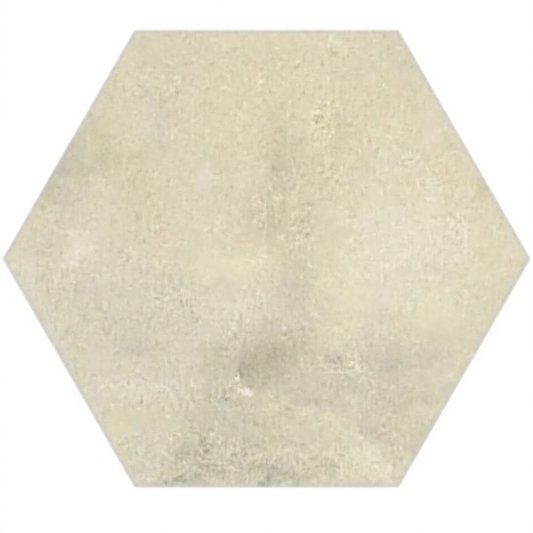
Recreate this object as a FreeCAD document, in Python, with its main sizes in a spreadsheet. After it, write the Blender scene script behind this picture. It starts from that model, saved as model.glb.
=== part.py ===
"""Hexagon floor tile: one pressed and fired stoneware piece with a honeycomb of keying cells in its back.

Millimetres, +Z up. The origin is the centre of the back, on the plane that the tile lies on. The tile's
longest extent, from corner to corner, runs along X, so two of its straight sides run along X as well.
"""
import FreeCAD, Part
import Sketcher
import math
import os

TILE_NAME = "hexagon_tile"
SIDES = 6
SIDE_TURN_DEG = 360.0 / SIDES
HALF_TURN_DEG = SIDE_TURN_DEG / 2
FIRST_TILE_SIDE_DEG = 0.0
FIRST_CELL_SIDE_DEG = 90.0
BLOCKS = 3
PARTS_FOLDER = "parts"

DRIVING_SIZES = [
    # alias, millimetres or degrees, what it is
    ("across_flats", 285.0, "width between two opposite straight sides"),
    ("thickness", 9.5, "from the ribs of the back to the face"),
    ("corner_radius", 2.5, "plan radius of the six outer corners"),
    ("face_arris", 1.0, "radius of the rounded rim of the face"),
    ("undercut_height", 4.0, "height of the lower wall, which leans in towards the back"),
    ("undercut_angle", 8.0, "lean of the lower wall from upright, in degrees"),
    ("back_arris", 0.5, "chamfer round the back"),
    ("back_border", 6.5, "least plain width between the keying cells and the edge of the back"),
    ("cell_across_flats", 17.5, "width of a keying cell's mouth between two opposite sides"),
    ("cell_depth", 0.8, "depth of a keying cell"),
    ("cell_lean", 35.0, "lean of a keying cell's walls from upright, in degrees"),
    ("rib_width", 3.0, "width of the rib between two keying cells"),
]

# The distance between the centres of neighbouring cells, as an expression on the sheet
CELL_PITCH = "(Sizes.cell_across_flats + Sizes.rib_width)"

# How far out the cells may reach, and how many rings of cells that leaves room for round the middle one
CELL_REACH = (
    "(Sizes.across_flats / 2 - Sizes.undercut_height * tan(Sizes.undercut_angle * 1 deg)"
    " - Sizes.back_arris - Sizes.back_border)"
)
CELL_RINGS = (
    f"floor(({CELL_REACH} - Sizes.cell_across_flats / 2 / cos({HALF_TURN_DEG} deg))"
    f" / ({CELL_PITCH} * cos({HALF_TURN_DEG} deg)))"
)


def add_size_sheet(doc):
    """Keeps the driving sizes as aliased cells, and returns the sheet."""
    sheet = doc.addObject("Spreadsheet::Sheet", "Sizes")
    sheet.set("A1", "What it is")
    sheet.set("B1", "Size")
    for row, (alias, value, meaning) in enumerate(DRIVING_SIZES, start=2):
        sheet.set(f"A{row}", meaning)
        sheet.set(f"B{row}", str(value))
        sheet.setAlias(f"B{row}", alias)
    doc.recompute()
    return sheet


def origin_plane(body, role):
    """The body's own origin plane of that role."""
    return next(feature for feature in body.Origin.OriginFeatures if feature.Role == role)


def add_flat_sketch(body, name):
    """A new sketch on the body's XY plane, which AttachmentOffset can then move."""
    sketch = body.newObject("Sketcher::SketchObject", name)
    sketch.AttachmentSupport = (origin_plane(body, "XY_Plane"), [""])
    sketch.MapMode = "FlatFace"
    return sketch


def polar(radius, angle_deg):
    """A point of the sketch, from its distance and direction."""
    angle = math.radians(angle_deg)
    return FreeCAD.Vector(radius * math.cos(angle), radius * math.sin(angle), 0)


def signed_angle(angle_deg):
    """The same direction in radians, between minus and plus half a turn."""
    return math.remainder(math.radians(angle_deg), 2 * math.pi)


def tie_radius(sketch, curve, radius, expression):
    """Gives a circle or arc of the sketch a radius that the sheet drives."""
    constraint = sketch.addConstraint(Sketcher.Constraint("Radius", curve, radius))
    sketch.setExpression(f"Constraints[{constraint}]", expression)


def draw_hexagon(sketch, sheet, across_flats, first_side_deg, corner_radius=None):
    """Draws a regular hexagon about the sketch's origin, with the first side in that direction.

    across_flats and corner_radius are aliases in the sheet. With no corner_radius the corners are sharp.
    """
    apothem = sheet.get(across_flats) / 2
    radius = sheet.get(corner_radius) if corner_radius else 0.0
    half_side = (apothem - radius) * math.tan(math.radians(HALF_TURN_DEG))
    upward = FreeCAD.Vector(0, 0, 1)

    inscribed = sketch.addGeometry(Part.Circle(FreeCAD.Vector(), upward, apothem), True)
    sketch.addConstraint(Sketcher.Constraint("Coincident", inscribed, 3, -1, 1))
    tie_radius(sketch, inscribed, apothem, f"Sizes.{across_flats} / 2")

    lines = []
    for side in range(SIDES):
        along_deg = first_side_deg + side * SIDE_TURN_DEG
        middle = polar(apothem, along_deg - 90)
        reach = polar(half_side, along_deg)
        line = sketch.addGeometry(Part.LineSegment(middle - reach, middle + reach), False)
        sketch.addConstraint(Sketcher.Constraint("Tangent", line, inscribed))
        sketch.addConstraint(Sketcher.Constraint("Angle", line, signed_angle(along_deg)))
        lines.append(line)

    if corner_radius:
        arcs = round_corners(sketch, lines, apothem, radius, first_side_deg)
        tie_radius(sketch, arcs[0], radius, f"Sizes.{corner_radius}")
    else:
        for line, following in zip(lines, lines[1:] + lines[:1]):
            sketch.addConstraint(Sketcher.Constraint("Coincident", line, 2, following, 1))


def round_corners(sketch, lines, apothem, radius, first_side_deg):
    """Joins the six sides by tangent arcs of one radius, and returns the arcs."""
    centre_reach = (apothem - radius) / math.cos(math.radians(HALF_TURN_DEG))
    arcs = []
    for side, line in enumerate(lines):
        outward_deg = first_side_deg + side * SIDE_TURN_DEG - 90
        centre = polar(centre_reach, outward_deg + HALF_TURN_DEG)
        circle = Part.Circle(centre, FreeCAD.Vector(0, 0, 1), radius)
        start = math.radians(outward_deg)
        stop = math.radians(outward_deg + SIDE_TURN_DEG)
        arcs.append(sketch.addGeometry(Part.ArcOfCircle(circle, start, stop), False))
    for line, arc, following in zip(lines, arcs, lines[1:] + lines[:1]):
        sketch.addConstraint(Sketcher.Constraint("Tangent", line, 2, arc, 1))
        sketch.addConstraint(Sketcher.Constraint("Tangent", arc, 2, following, 1))
    for arc in arcs[1:]:
        sketch.addConstraint(Sketcher.Constraint("Equal", arcs[0], arc))
    return arcs


def end_face(feature, choose):
    """The name of the feature's highest face with choose max, or of its lowest with choose min."""
    faces = enumerate(feature.Shape.Faces, start=1)
    number, _ = choose(faces, key=lambda numbered: numbered[1].CenterOfMass.z)
    return f"Face{number}"


def add_walls(body, sheet):
    """The upright wall under the face, and the wall below it that leans in towards the back."""
    outline = add_flat_sketch(body, "plan_outline")
    outline.setExpression("AttachmentOffset.Base.z", "Sizes.undercut_height")
    draw_hexagon(outline, sheet, "across_flats", FIRST_TILE_SIDE_DEG, "corner_radius")

    upright = body.newObject("PartDesign::Pad", "upright_wall")
    upright.Profile = outline
    upright.setExpression("Length", "Sizes.thickness - Sizes.undercut_height")

    undercut = body.newObject("PartDesign::Pad", "undercut_wall")
    undercut.Profile = outline
    undercut.Reversed = True
    undercut.setExpression("Length", "Sizes.undercut_height")
    undercut.setExpression("TaperAngle", "-Sizes.undercut_angle")
    body.Document.recompute()
    return undercut


def add_arrises(body, walls):
    """The rounded rim of the face, and the chamfer round the back."""
    rim = body.newObject("PartDesign::Fillet", "face_rim")
    rim.Base = (walls, [end_face(walls, max)])
    rim.setExpression("Radius", "Sizes.face_arris")
    body.Document.recompute()

    chamfer = body.newObject("PartDesign::Chamfer", "back_chamfer")
    chamfer.Base = (rim, [end_face(rim, min)])
    chamfer.setExpression("Size", "Sizes.back_arris")
    body.Document.recompute()


def add_cell(body, sheet, name, centre_x):
    """One keying cell, pressed up into the back with its centre at the expression centre_x."""
    mouth = add_flat_sketch(body, f"{name}_mouth")
    mouth.setExpression("AttachmentOffset.Base.x", centre_x)
    draw_hexagon(mouth, sheet, "cell_across_flats", FIRST_CELL_SIDE_DEG)

    cell = body.newObject("PartDesign::Pocket", name)
    cell.Profile = mouth
    cell.Reversed = True
    cell.setExpression("Length", "Sizes.cell_depth")
    cell.setExpression("TaperAngle", "-Sizes.cell_lean")
    return cell


def add_row_directions(body):
    """A sketch with the two directions that the rows of cells run in, a third of a turn apart."""
    directions = add_flat_sketch(body, "row_directions")
    for angle_deg in (0.0, 2 * SIDE_TURN_DEG):
        line = directions.addGeometry(Part.LineSegment(FreeCAD.Vector(), polar(1, angle_deg)), True)
        directions.addConstraint(Sketcher.Constraint("Coincident", line, 1, -1, 1))
        directions.addConstraint(Sketcher.Constraint("Angle", line, signed_angle(angle_deg)))
        directions.addConstraint(Sketcher.Constraint("Distance", line, 1.0))
    return directions


def add_keying_cells(body, sheet):
    """The honeycomb: a middle cell, and a block of cells that stands in three places round it.

    The block has as many columns as there are rings of cells, and one row more than that, so the three
    blocks fill every ring round the middle cell and no cell falls on another.
    """
    add_cell(body, sheet, "middle_cell", "0 mm")
    first = add_cell(body, sheet, "first_cell", f"{CELL_PITCH} * 1 mm")
    directions = add_row_directions(body)
    body.Document.recompute()

    honeycomb = body.newObject("PartDesign::MultiTransform", "honeycomb")
    honeycomb.Originals = [first]

    block = body.newObject("PartDesign::LinearPattern", "cell_block")
    block.Direction = (directions, ["Axis0"])
    block.setExpression("Occurrences", CELL_RINGS)
    block.setExpression("Length", f"{CELL_PITCH} * ({CELL_RINGS} - 1) * 1 mm")
    block.Direction2 = (directions, ["Axis1"])
    block.setExpression("Occurrences2", f"{CELL_RINGS} + 1")
    block.setExpression("Length2", f"{CELL_PITCH} * {CELL_RINGS} * 1 mm")

    places = body.newObject("PartDesign::PolarPattern", "block_places")
    places.Axis = (directions, ["N_Axis"])
    places.Angle = 360
    places.Occurrences = BLOCKS

    honeycomb.Transformations = [block, places]
    body.Tip = honeycomb
    body.Document.recompute()


def add_tile(doc, sheet):
    """The tile as one body."""
    body = doc.addObject("PartDesign::Body", "Tile")
    body.Label = TILE_NAME
    walls = add_walls(body, sheet)
    add_arrises(body, walls)
    add_keying_cells(body, sheet)
    return body


def check_built(doc, body):
    """Stops with a message if a feature failed, a sketch is loose, or the tile isn't one sound solid."""
    failed = [o.Label for o in doc.Objects if {"Invalid", "Error"} & set(o.State)]
    if failed:
        raise RuntimeError(f"these objects failed: {failed}")
    sketches = [o for o in doc.Objects if o.isDerivedFrom("Sketcher::SketchObject")]
    loose = [sketch.Label for sketch in sketches if not sketch.FullyConstrained]
    if loose:
        raise RuntimeError(f"these sketches aren't fully constrained: {loose}")
    shape = body.Shape
    if shape.isNull() or not shape.isValid() or len(shape.Solids) != 1:
        raise RuntimeError(f"{body.Label} isn't one valid solid")


def main():
    doc = FreeCAD.newDocument("HexagonTile")
    sheet = add_size_sheet(doc)
    tile = add_tile(doc, sheet)
    check_built(doc, tile)
    os.makedirs(PARTS_FOLDER, exist_ok=True)
    tile.Shape.exportStep(os.path.join(PARTS_FOLDER, f"{tile.Label}.step"))
    box = tile.Shape.optimalBoundingBox()
    print(f"{tile.Label}: {box.XLength:.2f} x {box.YLength:.2f} x {box.ZLength:.2f} mm")
    print(f"{tile.Shape.Volume:.1f} mm3, {len(tile.Shape.Faces)} faces")


main()
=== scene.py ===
"""Hexagon floor tile, pressed and fired in one piece: its shape, its cement-look face and its stage.

Metres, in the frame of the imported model: +Z up out of the walking face, +X from corner to corner.
"""
import math
from collections import namedtuple

import bpy
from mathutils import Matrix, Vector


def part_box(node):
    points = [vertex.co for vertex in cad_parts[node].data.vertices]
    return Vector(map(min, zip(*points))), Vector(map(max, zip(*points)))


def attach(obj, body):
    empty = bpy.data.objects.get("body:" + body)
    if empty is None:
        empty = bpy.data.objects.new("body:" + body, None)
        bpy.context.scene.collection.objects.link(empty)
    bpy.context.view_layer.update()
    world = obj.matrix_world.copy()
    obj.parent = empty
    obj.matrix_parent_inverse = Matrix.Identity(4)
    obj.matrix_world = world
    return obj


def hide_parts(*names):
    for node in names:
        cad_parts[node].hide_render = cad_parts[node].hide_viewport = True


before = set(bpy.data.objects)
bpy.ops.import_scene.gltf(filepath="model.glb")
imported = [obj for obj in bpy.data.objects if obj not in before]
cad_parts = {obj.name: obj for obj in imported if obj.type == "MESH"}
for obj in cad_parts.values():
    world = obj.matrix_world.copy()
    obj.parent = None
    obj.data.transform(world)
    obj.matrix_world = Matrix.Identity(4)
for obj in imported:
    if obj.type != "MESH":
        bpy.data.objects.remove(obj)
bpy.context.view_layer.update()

bl_info = {
    "name": "Hexagon floor tile",
    "version": (1, 0, 0),
    "blender": (4, 5, 0),
    "location": "3D View > Sidebar > Tile",
    "description": "A hexagonal stoneware floor tile with a cement-look face and keying cells in its back",
    "category": "Add Mesh",
}

TILE_NODE = "hexagon_tile"
TILE_PIECE = "fired_tile"
MATERIAL_SLOT = "stoneware"
BAKE_MAP = "OFBake"

MM = 0.001
SIDE_TURN = math.radians(60)
HALF_TURN = SIDE_TURN / 2
HALF_SIDE_SHARE = math.tan(HALF_TURN)
CORNER_STRETCH = 1 / math.cos(HALF_TURN)

# Rings of the sheet from the rim of the face to the back: rounded rim, upright wall, leaning wall, chamfer
RIM_RINGS = 6
WALL_RINGS = 3
UNDERCUT_RINGS = 3
CHAMFER_RINGS = 1
PROFILE_RINGS = RIM_RINGS + WALL_RINGS + UNDERCUT_RINGS + CHAMFER_RINGS

# Points of a keying cell's loop: five to a side, which bend round the corner in steps of a quarter of its arc
CELL_SIDE_POINTS = 5
CELL_LOOP_POINTS = 6 * CELL_SIDE_POINTS

# Where the unfolded sheet and the back lie on the bake map, as centre and width in shares of the map
SHEET_ON_MAP = ((0.42, 0.365), 0.82)
BACK_ON_MAP = ((0.79, 0.812), 0.40)

MERGE_DISTANCE = 0.01 * MM
SHARP_EDGE_ANGLE = math.radians(30)

# The points of the outer rings are drawn towards the corners: from this share of the rings on, and this much
CROWD_FROM = 0.8
CROWDING = 0.62

# The relief of the pressed face: long waves with finer ripples on them, which fade out before the rim
WAVE_MM = 45
RIPPLE_MM = 9
RIPPLE_SHARE = 0.35
RELIEF_FADE = (0.90, 0.99)


def screen_colour(red, green, blue):
    """A colour as a screen shows it, 0 to 255, as the linear colour that Blender mixes."""

    def linear(level):
        share = level / 255
        return share / 12.92 if share <= 0.04045 else ((share + 0.055) / 1.055) ** 2.4

    return (linear(red), linear(green), linear(blue))


def plan_sizes():
    """Across flats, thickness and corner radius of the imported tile."""
    low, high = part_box(TILE_NODE)
    across_flats = high.y - low.y
    over_corners = high.x - low.x
    cut_off = across_flats * CORNER_STRETCH - over_corners
    return across_flats, high.z - low.z, cut_off / 2 / (CORNER_STRETCH - 1)


ACROSS_FLATS, THICKNESS, CORNER_RADIUS = plan_sizes()


def length(name, default, description):
    return bpy.props.FloatProperty(
        name=name, default=default, description=description,
        min=0.0, precision=5, subtype="DISTANCE", unit="LENGTH",
    )


def angle(name, degrees, description):
    return bpy.props.FloatProperty(
        name=name, default=math.radians(degrees), description=description, subtype="ANGLE", unit="ROTATION"
    )


def amount(name, default, description):
    return bpy.props.FloatProperty(
        name=name, default=default, description=description, min=0.0, soft_max=1.0, subtype="FACTOR"
    )


def colour(name, screen, description):
    return bpy.props.FloatVectorProperty(
        name=name, default=screen_colour(*screen), description=description,
        size=3, min=0.0, max=1.0, subtype="COLOR",
    )


class TileSizes(bpy.types.PropertyGroup):
    """The sizes of the tile's shape."""

    across_flats: length("Across flats", ACROSS_FLATS, "Width between two opposite straight sides")
    thickness: length("Thickness", THICKNESS, "From the ribs of the back to the face")
    corner_radius: length("Corner radius", CORNER_RADIUS, "Plan radius of the six outer corners")
    face_arris: length("Rim radius", 1.0 * MM, "Radius of the rounded rim of the face")
    undercut_height: length("Undercut height", 4.0 * MM, "Height of the lower wall, which leans in")
    undercut_angle: angle("Undercut lean", 8.0, "Lean of the lower wall from upright")
    back_arris: length("Back chamfer", 0.5 * MM, "Chamfer round the back")
    back_border: length("Back border", 6.5 * MM, "Least plain width round the keying cells")
    cell_across_flats: length("Cell width", 17.5 * MM, "Width of a keying cell's mouth across its flats")
    cell_depth: length("Cell depth", 0.8 * MM, "Depth of a keying cell")
    cell_lean: angle("Cell lean", 35.0, "Lean of a keying cell's walls from upright")
    cell_corner_radius: length("Cell corner radius", 2.0 * MM, "Plan radius of a keying cell's corners")
    rib_width: length("Rib width", 3.0 * MM, "Width of the rib between two keying cells")
    relief: length("Face relief", 0.12 * MM, "How far the pressed face dips below a true plane")
    face_rings: bpy.props.IntProperty(
        name="Face rings", default=142, min=12, max=150, description="Rings of faces from middle to rim"
    )


class TileColours(bpy.types.PropertyGroup):
    """The colours of the face, of its clouds and stains, and of the fired body."""

    ground: colour("Ground", (216, 209, 183), "The face between its clouds")
    tan: colour("Tan", (246, 221, 181), "Warm wash of the upper half")
    brown: colour("Brown", (160, 134, 92), "The brown band")
    olive: colour("Olive", (176, 178, 128), "Olive shadows")
    slate: colour("Slate", (132, 138, 145), "Blue-grey shadows")
    ink: colour("Ink", (92, 86, 70), "The darkest stains")
    umber: colour("Umber", (98, 90, 50), "The brown side of the dark stain")
    lavender: colour("Lavender", (247, 239, 227), "Pale cool clouds")
    mist: colour("Mist", (232, 236, 226), "Pale blue-grey clouds")
    moss: colour("Moss", (244, 240, 206), "Pale green clouds")
    straw: colour("Straw", (246, 240, 196), "Pale yellow clouds")
    cream: colour("Cream", (250, 241, 215), "The lighter right half")
    blush: colour("Blush", (246, 224, 222), "Pale pink clouds")
    rose: colour("Rose", (250, 204, 178), "Small warm spots")
    mauve: colour("Mauve", (172, 158, 168), "Purple-grey shadows")
    teal: colour("Teal", (182, 198, 182), "Blue-green tinges")
    cool: colour("Cool", (207, 207, 207), "The cool wash of the lower left")
    frost: colour("Frost", (236, 232, 240), "Pale blue tinges near the sides")
    chalk: colour("Chalk", (252, 248, 232), "Chalky flecks")
    rim_band: colour("Rim band", (206, 206, 211), "The cooler border of the face")
    # Painted shade: a thin grey line just inside the rim, as if the turn of the rim shaded the face
    rim_line: colour("Rim line", (112, 112, 122), "The shaded line just inside the rim")
    # Painted highlight: the rounded rim is made paler in colour, as if it caught the light
    rim_light: colour("Rim light", (246, 243, 236), "The thinner, paler glaze on the rounded rim")
    body: colour("Body", (203, 193, 170), "The unglazed stoneware of the walls and the back")
    body_speck: colour("Body specks", (120, 108, 92), "Dark specks in the stoneware")
    kiln_wash: colour("Kiln wash", (228, 224, 214), "White powder left on the ribs of the back")


class TileFinish(bpy.types.PropertyGroup):
    """How strong the grain, the clouds and the gloss of the tile are."""

    clouds: amount("Clouds", 1.3, "Strength of the clouds and stains")
    grain: amount("Grain", 1.0, "Strength of the fine light and dark grain")
    mottle: amount("Mottling", 1.0, "Strength of the soft mottling between grain and clouds")
    roughness: amount("Roughness", 0.82, "Mean roughness of the face")
    bump: length("Grain height", 0.05 * MM, "Height of the grain that the light catches")


class TileStage(bpy.types.PropertyGroup):
    """The light, the floor and the camera."""

    sky: amount("Sky light", 0.6, "Share of the light that comes evenly from above and around")
    sun_tilt: angle("Sun tilt", 13.0, "How far the soft sun leans from straight above")
    sun_from: angle("Sun direction", 125.0, "Where the soft sun stands, turned from +X")
    sun_softness: angle("Sun softness", 24.0, "Apparent width of the soft sun")
    floor_shadow: amount("Floor shadow", 0.12, "How much of the tile's shadow the white floor shows")
    floor_size: length("Floor size", 6.0, "Width of the square floor")
    lens: bpy.props.FloatProperty(name="Lens", default=100.0, description="Focal length", unit="CAMERA")
    camera_height: length("Camera height", 0.9301, "Height of the camera above the floor")
    camera_back: length("Camera offset", 4.9 * MM, "How far the camera stands in front of the middle")


class Reading:
    """A number or a vector of a node tree, which sums and products can use as if it were a plain number."""

    def __init__(self, maker, socket):
        self.maker = maker
        self.socket = socket

    def __add__(self, other):
        return self.maker.math("ADD", self, other)

    def __radd__(self, other):
        return self.maker.math("ADD", other, self)

    def __sub__(self, other):
        return self.maker.math("SUBTRACT", self, other)

    def __rsub__(self, other):
        return self.maker.math("SUBTRACT", other, self)

    def __mul__(self, other):
        return self.maker.math("MULTIPLY", self, other)

    def __truediv__(self, other):
        return self.maker.math("DIVIDE", self, other)


class TreeMaker:
    """Adds nodes to one tree and links each as it is made."""

    def __init__(self, tree):
        self.tree = tree

    def feed(self, socket, source):
        """Links the socket to a reading, or sets it to a plain value.

        A colour's alpha is left off where the socket is a vector.
        """
        if isinstance(source, Reading):
            self.tree.links.new(source.socket, socket)
        elif isinstance(source, tuple):
            socket.default_value = source[: len(socket.default_value)]
        elif source is not None:
            socket.default_value = source

    def node(self, kind, *sources, **settings):
        """A new node. Its sources fill the sockets in use, in their order; None leaves one as it is."""
        node = self.tree.nodes.new(kind)
        for name, value in settings.items():
            setattr(node, name, value)
        in_use = [socket for socket in node.inputs if socket.enabled]
        for socket, source in zip(in_use, sources):
            self.feed(socket, source)
        return node

    def read(self, kind, *sources, output=None, **settings):
        """The reading that a new node gives: its named output, or else its first one in use."""
        node = self.node(kind, *sources, **settings)
        in_use = [socket for socket in node.outputs if socket.enabled]
        chosen = next(socket for socket in in_use if output in (None, socket.name))
        return Reading(self, chosen)

    def math(self, operation, *sources):
        return self.read("ShaderNodeMath", *sources, operation=operation)

    def vector(self, operation, *sources):
        return self.read("ShaderNodeVectorMath", *sources, operation=operation)

    def scaled(self, vector, by):
        """The vector or colour times a number."""
        return self.vector("SCALE", vector, by)

    def combine(self, x, y, z=0.0):
        return self.read("ShaderNodeCombineXYZ", x, y, z)

    def parts(self, vector):
        """The x, y and z of a vector."""
        node = self.node("ShaderNodeSeparateXYZ", vector)
        return [Reading(self, socket) for socket in node.outputs]

    def turn(self, vector, turn):
        """The vector turned about Z."""
        return self.read("ShaderNodeVectorRotate", vector, None, turn, rotation_type="Z_AXIS")

    def ramp(self, value, start, stop, low=0.0, high=1.0, shape="SMOOTHSTEP"):
        """low where the value is at start, high where it is at stop, and between them in between."""
        return self.read(
            "ShaderNodeMapRange", value, start, stop, low, high, interpolation_type=shape, clamp=True
        )

    def steps(self, value, start, stop, high):
        """Climbs evenly from 0 to high while the value goes from start to stop, and stays flat outside."""
        return self.ramp(value, start, stop, 0.0, high, shape="LINEAR")

    def blend(self, share, first, second):
        """first where the share is 0, second where it is 1, for colours."""
        return self.read(
            "ShaderNodeMix", share, first, second, data_type="RGBA", blend_type="MIX", clamp_factor=True
        )

    def pick(self, share, first, second):
        """first where the share is 0, second where it is 1, for numbers."""
        return self.read("ShaderNodeMix", share, first, second, data_type="FLOAT", clamp_factor=True)

    def group(self, tree, *sources):
        """The output of a geometry node group that is fed with these sources."""
        node = self.node("GeometryNodeGroup", node_tree=tree)
        for socket, source in zip(node.inputs, sources):
            self.feed(socket, source)
        return Reading(self, node.outputs[0])


SOCKET_TYPES = {
    float: "NodeSocketFloat",
    int: "NodeSocketInt",
    tuple: "NodeSocketVector",
    bpy.types.Material: "NodeSocketMaterial",
}


def new_group(name, output_name, output_type, inputs):
    """A geometry node group with one output, and inputs with these defaults.

    Returns its maker, its inputs by name, and its output node.
    """
    tree = bpy.data.node_groups.new(name, "GeometryNodeTree")
    tree.interface.new_socket(output_name, in_out="OUTPUT", socket_type=output_type)
    for input_name, default in inputs.items():
        socket_type = SOCKET_TYPES[type(default)]
        socket = tree.interface.new_socket(input_name, in_out="INPUT", socket_type=socket_type)
        socket.default_value = default
    maker = TreeMaker(tree)
    entry = tree.nodes.new("NodeGroupInput")
    readings = {socket.name: Reading(maker, socket) for socket in entry.outputs if socket.name}
    return maker, readings, tree.nodes.new("NodeGroupOutput")


def hexagon_point_group():
    """A point of a hexagon with rounded corners.

    Straight runs from -1 to 1 along the straight part of the side, and Bend is the angle that the point has
    gone round a corner beyond it.
    """
    maker, given, out = new_group(
        "hexagon_point",
        "Point",
        "NodeSocketVector",
        {"Apothem": 0.1, "Corner Radius": 0.0, "Straight": 0.0, "Bend": 0.0, "Side": 0.0},
    )
    apothem, radius, bend = given["Apothem"], given["Corner Radius"], given["Bend"]
    outward = apothem - radius + radius * maker.math("COSINE", bend)
    half_side = (apothem - radius) * HALF_SIDE_SHARE
    along = given["Straight"] * half_side + radius * maker.math("SINE", bend)
    facing = given["Side"] * SIDE_TURN + HALF_TURN
    maker.feed(out.inputs[0], maker.turn(maker.combine(outward, along), facing))
    return maker.tree


def ring_point_group(hexagon_point):
    """A point of a hexagon with rounded corners, from its share of the way between two corners, -1 to 1."""
    maker, given, out = new_group(
        "ring_point",
        "Point",
        "NodeSocketVector",
        {"Apothem": 0.1, "Corner Radius": 0.0, "Share": 0.0, "Side": 0.0},
    )
    apothem, radius = given["Apothem"], given["Corner Radius"]
    half_side = (apothem - radius) * HALF_SIDE_SHARE
    run = given["Share"] * (half_side + radius * HALF_TURN)
    straight = maker.math("MAXIMUM", maker.math("MINIMUM", run, half_side), 0.0 - half_side)
    bend = (run - straight) / radius
    point = maker.group(hexagon_point, apothem, radius, straight / half_side, bend, given["Side"])
    maker.feed(out.inputs[0], point)
    return maker.tree


def lattice(maker, rings):
    """Three grids that will make a hexagon, with the ring, side and share of each of their points.

    Each grid covers a third of the hexagon: one of its axes runs to one corner, and the other to the next but
    one. Its far corner becomes the corner between them.
    """
    grid = maker.read("GeometryNodeMeshGrid", rings, rings, rings + 1, rings + 1)
    line = maker.read("GeometryNodeMeshLine", 3, None, (0, 0, 0), mode="OFFSET", count_mode="TOTAL")
    thirds = maker.read("GeometryNodeInstanceOnPoints", line, None, grid)
    index = maker.read("GeometryNodeInputIndex")
    thirds = maker.read(
        "GeometryNodeStoreNamedAttribute", thirds, None, "third", index, data_type="FLOAT", domain="INSTANCE"
    )
    sheet = maker.read("GeometryNodeRealizeInstances", thirds)

    third = maker.read("GeometryNodeInputNamedAttribute", "third", data_type="FLOAT")
    x, y, _ = maker.parts(maker.read("GeometryNodeInputPosition"))
    first = maker.math("ROUND", x + rings / 2)
    second = maker.math("ROUND", y + rings / 2)
    ring = maker.math("MAXIMUM", first, second)
    past_corner = maker.math("GREATER_THAN", second, first)
    way = maker.pick(past_corner, second / ring, 1 - first / ring)
    return sheet, ring, third * 2 + past_corner, way * 2 - 1


def crowded(maker, share, ring, rings):
    """The share with the points of the outer rings drawn towards the corners, so that these are round."""
    crowd = maker.ramp(ring / rings, CROWD_FROM, 1.0, 0.0, CROWDING)
    return share + crowd * maker.math("SINE", share * math.pi) / math.pi


def sheet_profile(maker, size, ring):
    """Apothem, height, and apothem when unfolded flat, of each ring of the sheet.

    The rings go out over the face, then round the rim, down the upright wall, down the leaning wall and over
    the chamfer to the back.
    """
    face_rings, arris = size["Face Rings"], size["Face Arris"]
    beyond = ring - face_rings
    stops = [RIM_RINGS, RIM_RINGS + WALL_RINGS, RIM_RINGS + WALL_RINGS + UNDERCUT_RINGS, PROFILE_RINGS]
    lean = size["Undercut Angle"]
    chamfer = size["Back Arris"]
    chamfer_drop = chamfer * maker.math("COSINE", lean)
    chamfer_inset = chamfer + chamfer * maker.math("SINE", lean)

    round_rim = maker.steps(beyond, 0, stops[0], math.pi / 2)
    down_wall = maker.steps(beyond, stops[0], stops[1], size["Thickness"] - arris - size["Undercut Height"])
    down_lean = maker.steps(beyond, stops[1], stops[2], size["Undercut Height"] - chamfer_drop)
    over_chamfer = maker.steps(beyond, stops[2], stops[3], 1.0)

    face_apothem = size["Across Flats"] / 2 - arris
    on_face = maker.math("MINIMUM", ring / face_rings, 1.0)
    outward = arris * maker.math("SINE", round_rim) - down_lean * maker.math("TANGENT", lean)
    outward = outward - over_chamfer * chamfer_inset
    height = size["Thickness"] - arris + arris * maker.math("COSINE", round_rim)
    height = height - down_wall - down_lean - over_chamfer * chamfer_drop

    chamfer_width = maker.math("SQRT", chamfer_drop * chamfer_drop + chamfer_inset * chamfer_inset)
    unfolded = arris * round_rim + down_wall + down_lean / maker.math("COSINE", lean)
    unfolded = unfolded + over_chamfer * chamfer_width
    return on_face, face_apothem, outward, height, unfolded


def add_sheet(maker, size, ring_point):
    """The face with its relief, the rim, the walls and the chamfer of the back, as one open sheet."""
    rings = size["Face Rings"] + PROFILE_RINGS
    sheet, ring, side, share = lattice(maker, rings)
    share = crowded(maker, share, ring, rings)
    on_face, face_apothem, outward, height, unfolded = sheet_profile(maker, size, ring)
    face_radius = size["Corner Radius"] - size["Face Arris"]

    flat = maker.group(
        ring_point, on_face * face_apothem + unfolded, on_face * face_radius + unfolded, share, side
    )
    map_place = maker.vector("ADD", maker.scaled(flat, size["Sheet Scale"]), size["Sheet Centre"])
    sheet = store_map(maker, sheet, map_place)

    plan = maker.group(
        ring_point, on_face * face_apothem + outward, on_face * face_radius + outward, share, side
    )
    waves = maker.read("ShaderNodeTexNoise", plan, scale_of(WAVE_MM), 2.0, 0.5)
    ripples = maker.read("ShaderNodeTexNoise", plan, scale_of(RIPPLE_MM), 2.0, 0.6)
    inside_rim = maker.ramp(ring / size["Face Rings"], *RELIEF_FADE, 1.0, 0.0)
    dip = size["Relief"] * inside_rim * maker.pick(RIPPLE_SHARE, waves, ripples)
    place = maker.vector("ADD", plan, maker.combine(0.0, 0.0, height - dip))
    return maker.read("GeometryNodeSetPosition", sheet, None, place)


def scale_of(feature_mm):
    """A noise texture's scale for features of about this size, on a place in metres."""
    return 1 / (feature_mm * MM)


def store_map(maker, mesh, place):
    """Keeps the place as the mesh's bake map."""
    return maker.read(
        "GeometryNodeStoreNamedAttribute", mesh, None, BAKE_MAP, place, data_type="FLOAT2", domain="CORNER"
    )


def cell_rings(maker, size):
    """How many rings of cells the back has room for round the middle one."""
    lean_in = size["Undercut Height"] * maker.math("TANGENT", size["Undercut Angle"])
    reach = size["Across Flats"] / 2 - lean_in - size["Back Arris"] - size["Back Border"]
    pitch = size["Cell Across Flats"] + size["Rib Width"]
    room = reach - size["Cell Across Flats"] / 2 * CORNER_STRETCH
    return maker.math("FLOOR", room * CORNER_STRETCH / pitch), pitch


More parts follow.
